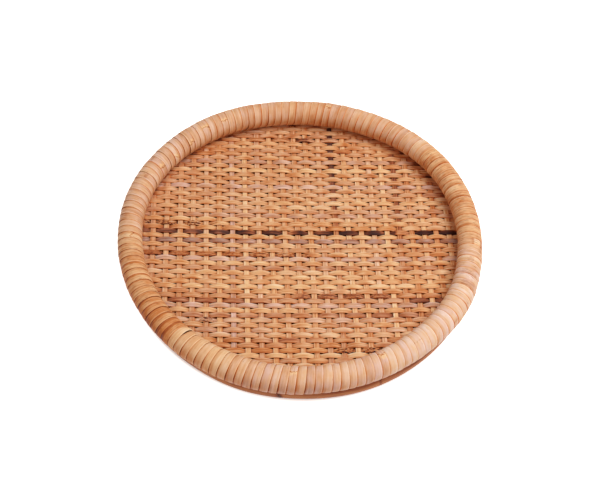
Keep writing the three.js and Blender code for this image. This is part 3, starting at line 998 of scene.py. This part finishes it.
# Share of the dust and painted shade that the lit top gets, and the most that weathering makes of it.
TOP_SHARE_OF_DUST_AND_SHADE = 0.45
WEATHERED_DUST = 1.1


def next_leaf(turn):
    leaf = np.full(len(turn), NO_LEAF)
    for azimuth, angle in LEAF_NODES:
        off = off_mm(turn, turn_at(azimuth, angle))
        leaf = np.where(np.abs(off) < np.abs(leaf), off, leaf)
    return leaf


def groove_dust_and_shade(turn, tube, weathered):
    across = np.array([place for place, height, pith in BINDING_SECTION])
    before, after = drift(groove_dust, turn)[:, None], drift(groove_dust, turn + 1)[:, None]
    side_shade = TOP_SHARE_OF_DUST_AND_SHADE + (1.0 - TOP_SHARE_OF_DUST_AND_SHADE) * np.abs(np.cos(np.radians(tube)))
    left = side_shade * np.minimum(weathered, WEATHERED_DUST)
    return np.where(across[None] < 0, before, after) * left[:, None]


print("points across the binding cane:", len(BINDING_SECTION))

# %% [markdown]
# Looks along the binding.
# Each turn is a little paler or darker than the next. Inside the hoop the cane is painted
# darker and redder, as painted shade, and low on the outside of the left and front it is
# painted darker and pinker, as painted shade with a painted reflection of the white floor. A
# random shade alone would hide where one length of cane ends and the next begins.

# %% Looks of the binding
BINDING_LOT = 0.13
DEEPEST_SCAR = 1.05
FRESH_CANE = 0.6
# Changes of tone, and of bloom as a share: from turn to turn, and as painted shade inside the hoop and low
# outside.
TURN_TONE = 0.03
INSIDE_SHADE_TONE = 0.07
LOW_SHADE_TONE = 0.13
TURN_BLOOM = 0.18
INSIDE_SHADE_BLOOM = 0.7
LOW_SHADE_BLOOM = 0.25
# Tube angles in degrees where the painted shade inside and low outside begins and where it is full.
INSIDE_SHADE_SPAN = (145.0, 195.0)
LOW_SHADE_SPAN = (62.0, 5.0)


def length_looks(turn):
    azimuths, tones, blooms, wears = np.array(BINDING_LENGTHS).T
    places = (np.radians(azimuths) - BINDING_START) % (2 * math.pi) / TURN_STEP - 0.5
    return [np.interp(turn, places, values, period=TURNS) for values in (tones, blooms, wears)]


def binding_looks(turn, tube):
    tone, bloom, weathered = length_looks(turn)
    shade = turn_shade[np.floor(turn).astype(int)]
    # Painted shade: darker and redder inside the hoop, darker and pinker low on the shaded outside.
    inside = smooth_step(*INSIDE_SHADE_SPAN, tube)
    shaded = between(np.degrees(groove_place(turn)), SHADED_TURNS, period=360)
    low_shade = smooth_step(*LOW_SHADE_SPAN, tube) * shaded
    tone = tone + TURN_TONE * shade[:, 0] - INSIDE_SHADE_TONE * inside - LOW_SHADE_TONE * low_shade
    bloom = bloom * (1 + TURN_BLOOM * shade[:, 1]) * (1 - INSIDE_SHADE_BLOOM * inside) * (1 + LOW_SHADE_BLOOM * low_shade)
    bloom = np.clip(bloom, 0.0, 1.0)
    for azimuth, angle, length, change in MARKS:
        tone = tone + change * np.exp(-(off_mm(turn, turn_at(azimuth, angle)) / length) ** 6)
    scar = weathered - FRESH_CANE
    for azimuth, angle, length in BRUISES:
        scar = scar + np.exp(-(off_mm(turn, turn_at(azimuth, angle)) / length) ** 2)
    return {"tone": tone, "bloom": bloom, "scar": np.minimum(scar, DEEPEST_SCAR), "lot": BINDING_LOT,
            "leaf": next_leaf(turn), "dust_and_shade": groove_dust_and_shade(turn, tube, weathered)}


first_looks = binding_looks(np.linspace(0.0, 1.0, 5), np.linspace(-90.0, 270.0, 5))
print("tone round the first turn:", first_looks["tone"].round(2))

# %% [markdown]
# Winding the cane.
# A strip runs round the pole while it creeps along it, so its line is a helix on the hoop.
# Each station takes its middle and width from the grooves on both sides. Below, the rim is
# pressed onto the mat, so the turns stand further out there and close the gap.

# %% Wind the six strips
# In mm: how deep the rim is pressed onto the mat, and how much each turn lies in and wanders.
SEAT = 2.5
TURN_INSET = 0.10
TURN_UNEVEN = 0.10
# The crown of all turns, and what the crowned ones have more.
CROWN_PLAIN = 0.5
CROWN_EXTRA = 0.4
# Degrees from straight down between which a turn comes to stand on the mat.
SEAT_SPAN = (50.0, 12.0)


def binding_course(number, turn):
    tube = 2 * math.pi * turn - math.pi / 2
    middle = (groove_place(turn) + groove_place(turn + 1)) / 2
    reach = hoop_reach(middle) + TUBE_RADIUS * np.cos(tube)
    before = groove_place(turn) + groove_width(turn) / 2 / reach
    after = groove_place(turn + 1) - groove_width(turn + 1) / 2 / reach
    azimuth = (before + after) / 2
    outward = np.stack([np.cos(azimuth), np.sin(azimuth), np.zeros_like(azimuth)], -1)
    side = np.stack([-np.sin(azimuth), np.cos(azimuth), np.zeros_like(azimuth)], -1)
    out = outward * np.cos(tube)[:, None] + np.array((0.0, 0.0, 1.0)) * np.sin(tube)[:, None]
    angle = np.degrees(tube + math.pi / 2) % 360.0 - 90.0
    from_below = np.abs((angle + 270.0) % 360.0 - 180.0)
    under = smooth_step(*SEAT_SPAN, from_below)
    thicker = hoop_shape(azimuth)[1]
    uneven = wander(turn, every=0.7, by=TURN_UNEVEN, seed=5000 + number)
    radius = TUBE_RADIUS + thicker + uneven - TURN_INSET + SEAT * under
    line = outward * hoop_reach(azimuth)[:, None] + out * radius[:, None]
    line[:, 2] += TUBE_LEVEL + thicker
    side, out = tilted(side, out, TURN_LEAN + wander(turn, every=0.8, by=0.7, seed=5100 + number))
    return line, side, out, (after - before) * reach / 2, angle


for number in range(BINDING_STRIPS):
    turn = np.linspace(0, TURNS_A_STRIP, TURNS_A_STRIP * STATIONS_A_TURN + 1) + number * TURNS_A_STRIP
    line, side, out, width, angle = binding_course(number, turn)
    looks = binding_looks(turn, angle)
    crown = CROWN_PLAIN + CROWN_EXTRA * between(np.degrees(groove_place(turn)), CROWNED_TURNS, period=360)
    piece = lay_strip(f"binding_cane_{number + 1}", line, side, out, width, BINDING_SECTION, looks, crown)
    piece.data.materials.append(binding_finish)
    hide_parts(f"binding_strip_{number + 1}")
print("strips of binding wound:", BINDING_STRIPS)

# %% [markdown]
# Rattan pole, the whole vine with its skin left on.
# A pole is round, solid and a little uneven, with fine fibres along it and a dark ring at
# each leaf node. The foot is smoothed, which gives a quiet brown sheen; the rim's pole is
# rough and all but hidden. A wood texture would show growth rings, which a vine doesn't
# have, so a plain noise is stretched along the pole.

# %% Rattan pole
POLE_TONES = [(0.0, "#451604"), (0.35, "#9a5029"), (0.60, "#c07a4a"), (0.80, "#d29362"), (1.0, "#e6b78c")]
GAP_BETWEEN_NODES = 215.0
# Length and width in mm, and strength. Real fibres are finer; these are as wide as shows.
POLE_FIBRES = (22.0, 0.6, 0.65)
POLE_PATCHES = (30.0, 9.0, 0.5)
SOIL_AND_SHADE_STRENGTH = 0.55


def rattan_pole(name, tone):
    material, tree = empty_material(name)
    words = ("along", "across", "soil_and_shade")
    mesh = {word: add_node(tree, "Attribute", attribute_name=word).outputs["Fac"] for word in words}
    place = add_node(tree, "CombineXYZ", {"X": mesh["along"], "Y": mesh["across"]})
    shade = tone - POLE_FIBRES[2] / 2 - POLE_PATCHES[2] / 2
    noises = []
    for (length, width, strength), detail in ((POLE_FIBRES, 3.0), (POLE_PATCHES, 2.0)):
        spot = add_node(tree, "VectorMath", {0: place, 1: (1 / length, 1 / width, 1.0)}, operation="MULTIPLY")
        noises.append(add_node(tree, "TexNoise", {"Vector": spot, "Scale": 1.0, "Detail": detail}))
        shade = add_node(tree, "Math", {0: noises[-1], 1: strength, 2: shade}, operation="MULTIPLY_ADD")
    fibres = noises[0]
    half_gap = GAP_BETWEEN_NODES / 2
    to_node = add_node(tree, "Math", {0: mesh["along"], 1: half_gap, 2: -half_gap}, operation="WRAP")
    to_node = add_node(tree, "Math", {0: to_node}, operation="ABSOLUTE")
    ring = add_node(tree, "MapRange", {"Value": to_node, "From Min": 0.5, "From Max": 1.4,
                                       "To Min": -0.22, "To Max": 0.0})
    shade = add_node(tree, "Math", {0: shade, 1: ring}, operation="ADD")
    # Soil darkens the joint; along the top the darkening is painted shade.
    shade = add_node(tree, "Math", {0: mesh["soil_and_shade"], 1: -SOIL_AND_SHADE_STRENGTH, 2: shade}, operation="MULTIPLY_ADD")
    ramp = add_node(tree, "ValToRGB", {"Fac": shade})
    set_tones(ramp, POLE_TONES)
    gloss = add_node(tree, "MapRange", {"Value": fibres, "From Min": 0.3, "From Max": 0.7,
                                        "To Min": 0.42, "To Max": 0.60})
    ridges = add_node(tree, "Bump", {"Strength": 0.5, "Distance": 0.06 * MM, "Height": fibres})
    skin = add_node(tree, "BsdfPrincipled", {"Base Color": ramp, "Roughness": gloss, "IOR": 1.5,
                                             "Specular IOR Level": 0.3, "Normal": ridges})
    add_node(tree, "OutputMaterial", {"Surface": skin})
    print(name, "shader nodes:", len(tree.nodes))
    return material


foot_finish = rattan_pole("rattan_pole_smooth", tone=0.57)
core_finish = rattan_pole("rattan_pole_rough", tone=0.35)

# %% [markdown]
# Bending a hoop.
# A length of pole is steamed, bent round and closed where its two ends, cut on the slant,
# are set against each other. A torus has no ends and no joint. So the hoop is a tube that
# starts and stops at the joint, with its first and last rings slanted alike; it swells a
# little at each leaf node, soil has gathered in the joint, and along the top, where the mat
# lies on it, the pole is painted darker as painted shade.

# %% A maker of hoops
HOOP_STATIONS = 260
HOOP_SIDES = 24
NODE_SWELL = 0.018
SWELL_REACH = 3.0
HOOP_TRIM = 0.985
# Turn of the joint's slant round the pole, and how far it fades out, as a share of its length.
SLANT_TURN = 0.6
SLANT_FADE = 1.6
# Half length in mm of the soil in the joint, and how strong the painted shade is along the top.
JOINT_SOIL_REACH = 1.5
POLE_TOP_SHADE = 0.4
# Heights on the pole, from -1 to 1, between which soil begins in the joint, and painted shade along the top.
JOINT_SOIL_SPAN = (-0.6, -0.1)
POLE_TOP_SHADE_SPAN = (0.15, 0.65)


def bend_hoop(name, hoop_radius, pole_radius, hoop_level, joint, scarf, gap, first_node, seed):
    usual = float(hoop_radius(np.zeros(1))[0])
    half_gap = gap / 2 / usual
    azimuth = np.linspace(joint + half_gap, joint + 2 * math.pi - half_gap, HOOP_STATIONS)
    run = (azimuth - joint) * usual
    from_joint = np.minimum(run, 2 * math.pi * usual - run)
    along = run - first_node
    half_node_gap = GAP_BETWEEN_NODES / 2
    from_node = (along + half_node_gap) % GAP_BETWEEN_NODES - half_node_gap
    swell = 1.0 + NODE_SWELL * np.exp(-(from_node / SWELL_REACH) ** 2)
    radius = pole_radius * swell * (1.0 + wander(run, every=60.0, by=0.008, seed=seed)) * HOOP_TRIM
    around = np.arange(HOOP_SIDES) * 2 * math.pi / HOOP_SIDES
    near_joint = np.exp(-from_joint / (SLANT_FADE * scarf))
    slant = near_joint[:, None] * np.cos(around + SLANT_TURN)[None] * scarf / 2 / usual
    angle = azimuth[:, None] + slant
    reach = hoop_radius(azimuth)[:, None] + radius[:, None] * np.cos(around)
    height = hoop_level + radius[:, None] * np.sin(around)
    height = np.clip(height, hoop_level - pole_radius, hoop_level + pole_radius)
    points = np.stack([reach * np.cos(angle), reach * np.sin(angle), height], -1)
    upper = np.sin(around)
    # Soil in the joint, and painted shade along the top, where the mat and rim lie on the pole.
    in_joint = np.exp(-(from_joint / JOINT_SOIL_REACH) ** 2)[:, None] * smooth_step(*JOINT_SOIL_SPAN, upper)
    soil_and_shade = np.maximum(in_joint, POLE_TOP_SHADE * smooth_step(*POLE_TOP_SHADE_SPAN, upper))
    across = np.abs(around - math.pi) * pole_radius
    return mesh_piece(name, points, {"along": along[:, None], "across": across, "soil_and_shade": soil_and_shade})


print("points on a hoop:", HOOP_STATIONS * HOOP_SIDES)

# %% [markdown]
# The two hoops.
# The foot hoop is bare, smooth and browner than the cane, with its joint at the front. It
# stands off to one side a little and bulges near its joint. The rim's pole fills the
# binding, and can only be seen through the slit. Both could be one plain ring each, but
# the joint and the bulge show below the rim.

# %% Bend the hoops
# The rim's pole is as thick as the binding leaves room for; the foot's is a little over its solid.
CORE_POLE = TUBE_RADIUS - 1.5
FOOT_POLE = FOOT_THICK / 2 + 0.4
# The foot's hoop, in mm: how much smaller than its solid, how far off to one side, and which way.
FOOT_TRIM = 0.4
FOOT_SHIFT = 0.9
FOOT_SHIFT_TURN = 0.6
# Azimuth in degrees, height in mm and width in degrees.
FOOT_BULGES = [(249, 1.0, 12), (288, 0.5, 14)]


def foot_reach(azimuth):
    reach = FOOT_RADIUS - FOOT_TRIM + FOOT_SHIFT * np.cos(azimuth + FOOT_SHIFT_TURN)
    for middle, amount, width in FOOT_BULGES:
        off = (np.degrees(azimuth) - middle + 180.0) % 360.0 - 180.0
        reach = reach + amount * np.exp(-(off / width) ** 2)
    return reach


foot = bend_hoop("foot_pole", foot_reach, pole_radius=FOOT_POLE, hoop_level=FOOT_POLE,
                 joint=math.radians(-99), scarf=9.0, gap=0.1, first_node=80.0, seed=61)
foot.data.materials.append(foot_finish)
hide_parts("foot_hoop")

core = bend_hoop("rim_pole", hoop_reach, pole_radius=CORE_POLE, hoop_level=TUBE_LEVEL,
                 joint=math.radians(78), scarf=24.0, gap=0.5, first_node=0.0, seed=62)
core.data.materials.append(core_finish)
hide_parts("rim_core")
print("hoops bent:", foot.name, core.name)

# %% [markdown]
# The floor.
# It is white and matt. A white floor in plain light comes out grey, so it also glows where
# the camera or a reflection sees it: it comes out white but keeps a soft shadow. Under the
# mat it doesn't glow and is deep brown, which stands for the dim light between floor and
# cane that shows through the windows of the weave.

# %% Floor
FLOOR_HALF = 4.0
FLOOR_DROP = 0.0002
FLOOR_WHITE = "#f4f4f4"
FLOOR_UNDER_MAT = "#5e1c02"
# In metres from the middle: where the brown ends, the white begins and the glow is full.
BROWN_TO = 0.135
WHITE_FROM = 0.139
GLOW_FROM = 0.143
GLOW = 0.93


def seen_directly(tree):
    rays = add_node(tree, "LightPath").outputs
    seen = add_node(tree, "Math", {0: rays["Is Camera Ray"], 1: rays["Is Glossy Ray"]}, operation="MAXIMUM")
    return add_node(tree, "Math", {0: seen, 1: rays["Is Transmission Ray"]}, operation="MAXIMUM")


corners = [(-FLOOR_HALF, -FLOOR_HALF, 0), (FLOOR_HALF, -FLOOR_HALF, 0),
           (FLOOR_HALF, FLOOR_HALF, 0), (-FLOOR_HALF, FLOOR_HALF, 0)]
floor_mesh = bpy.data.meshes.new("floor")
floor_mesh.from_pydata(corners, [], [(0, 1, 2, 3)])
floor = bpy.data.objects.new("floor", floor_mesh)
floor.location.z = -FLOOR_DROP
bpy.context.collection.objects.link(floor)

floor_finish, tree = empty_material("white_floor")
seen = seen_directly(tree)
spot = add_node(tree, "NewGeometry").outputs["Position"]
reach = add_node(tree, "VectorMath", {0: spot}, operation="LENGTH")
outside = add_node(tree, "MapRange", {"Value": reach, "From Min": WHITE_FROM, "From Max": GLOW_FROM,
                                      "To Min": 0.0, "To Max": GLOW})
glow = add_node(tree, "Math", {0: seen, 1: outside}, operation="MULTIPLY")
open_floor = add_node(tree, "MapRange", {"Value": reach, "From Min": BROWN_TO, "From Max": WHITE_FROM})
cover = add_node(tree, "Mix", {0: open_floor, 6: linear(FLOOR_UNDER_MAT), 7: linear(FLOOR_WHITE)},
                 data_type="RGBA")
matt = add_node(tree, "BsdfDiffuse", {"Color": cover})
shine = add_node(tree, "Emission", {"Color": (1, 1, 1, 1), "Strength": glow})
both = add_node(tree, "AddShader", {0: matt, 1: shine})
add_node(tree, "OutputMaterial", {"Surface": both})
floor.data.materials.append(floor_finish)
print("floor nodes:", len(tree.nodes))

# %% [markdown]
# The light.
# One large soft lamp above and to the right, a weak warm one in front, and a warm grey sky
# all round, as in a small studio with white walls. The sky itself is seen as white. A
# sun would draw hard shadows between the strips, which a softbox doesn't.

# %% World and lamps
SKY_STRENGTH = 0.38
SKY_COLOUR = "#ffefe2"

world = bpy.data.worlds.new("studio")
bpy.context.scene.world = world
world.use_nodes = True
tree = world.node_tree
tree.nodes.clear()
seen = seen_directly(tree)
strength = add_node(tree, "MapRange", {"Value": seen, "To Min": SKY_STRENGTH, "To Max": 1.0})
warm = add_node(tree, "Mix", {0: seen, 6: linear(SKY_COLOUR), 7: (1, 1, 1, 1)}, data_type="RGBA")
sky = add_node(tree, "Background", {"Color": warm, "Strength": strength})
add_node(tree, "OutputWorld", {"Surface": sky})


def soft_lamp(name, place, size, power, colour):
    lamp_data = bpy.data.lights.new(name, "AREA")
    lamp_data.color = linear(colour)[:3]
    lamp_data.shape = "SQUARE"
    lamp_data.size = size
    lamp_data.energy = power
    lamp = bpy.data.objects.new(name, lamp_data)
    lamp.location = place
    lamp.rotation_euler = (-Vector(place)).to_track_quat("-Z", "Y").to_euler()
    bpy.context.collection.objects.link(lamp)
    return lamp


lamps = [soft_lamp("lamp_above", place=(0.65, 0.0, 1.50), size=1.2, power=20.5, colour="#f9ffff"),
         soft_lamp("lamp_front", place=(-0.5, -1.5, 1.1), size=1.2, power=4.5, colour="#ffeadf")]
bpy.context.scene.view_settings.view_transform = "Standard"
print("lamps:", [lamp.name for lamp in lamps])
